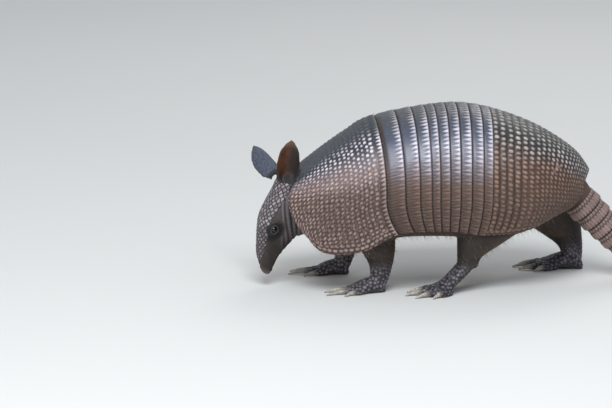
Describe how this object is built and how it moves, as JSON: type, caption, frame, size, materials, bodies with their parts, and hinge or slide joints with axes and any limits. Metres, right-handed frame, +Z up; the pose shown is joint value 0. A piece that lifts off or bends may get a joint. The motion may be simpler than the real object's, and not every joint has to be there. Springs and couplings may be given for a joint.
{
  "type": "nine-banded armadillo",
  "caption": "Life-size still armadillo walking with its nose to the ground: banded shell, tall ears, armoured tail laid on the floor, long claws.",
  "frame": {"origin": "on the floor, under the middle of the whole animal's box", "axes": "+X towards the tail, -X towards the head, -Y to the animal's left side, +Z up"},
  "size_m": [0.6434, 0.1678, 0.2003],
  "materials": {
    "shell": "horny scutes, low sheen",
    "band": "horny scutes, soft sheen",
    "head_plate": "horny scutes, low sheen",
    "skin": "wrinkled bare skin, matt",
    "ear": "thin leathery skin, matt",
    "tail_ring": "horny scutes, low sheen",
    "eye": "wet gloss",
    "claw": "worn horn, satin"
  },
  "bodies": {
    "root": {"scapular_shield": "shell", "band_1": "band", "band_2": "band", "band_3": "band", "band_4": "band", "band_5": "band", "band_6": "band", "band_7": "band", "band_8": "band", "band_9": "band", "pelvic_shield": "shell", "trunk": "skin", "neck": "skin", "head": "skin", "head_shield": "head_plate", "ear_left": "ear", "eye_left": "eye", "ear_right": "ear", "eye_right": "eye", "tail_root": "skin", "tail_ring_01": "tail_ring", "tail_ring_02": "tail_ring", "tail_ring_03": "tail_ring", "tail_ring_04": "tail_ring", "tail_ring_05": "tail_ring", "tail_ring_06": "tail_ring", "tail_ring_07": "tail_ring", "tail_ring_08": "tail_ring", "tail_ring_09": "tail_ring", "tail_ring_10": "tail_ring", "tail_ring_11": "tail_ring", "tail_ring_12": "tail_ring", "tail_tip": "tail_ring", "foreleg_left": "skin", "forefoot_left": "skin", "forefoot_left_claw_1": "claw", "forefoot_left_claw_2": "claw", "forefoot_left_claw_3": "claw", "forefoot_left_claw_4": "claw", "hindleg_left": "skin", "hindfoot_left": "skin", "hindfoot_left_claw_1": "claw", "hindfoot_left_claw_2": "claw", "hindfoot_left_claw_3": "claw", "hindfoot_left_claw_4": "claw", "hindfoot_left_claw_5": "claw", "foreleg_right": "skin", "forefoot_right": "skin", "forefoot_right_claw_1": "claw", "forefoot_right_claw_2": "claw", "forefoot_right_claw_3": "claw", "forefoot_right_claw_4": "claw", "hindleg_right": "skin", "hindfoot_right": "skin", "hindfoot_right_claw_1": "claw", "hindfoot_right_claw_2": "claw", "hindfoot_right_claw_3": "claw", "hindfoot_right_claw_4": "claw", "hindfoot_right_claw_5": "claw"}
  },
  "joints": []
}
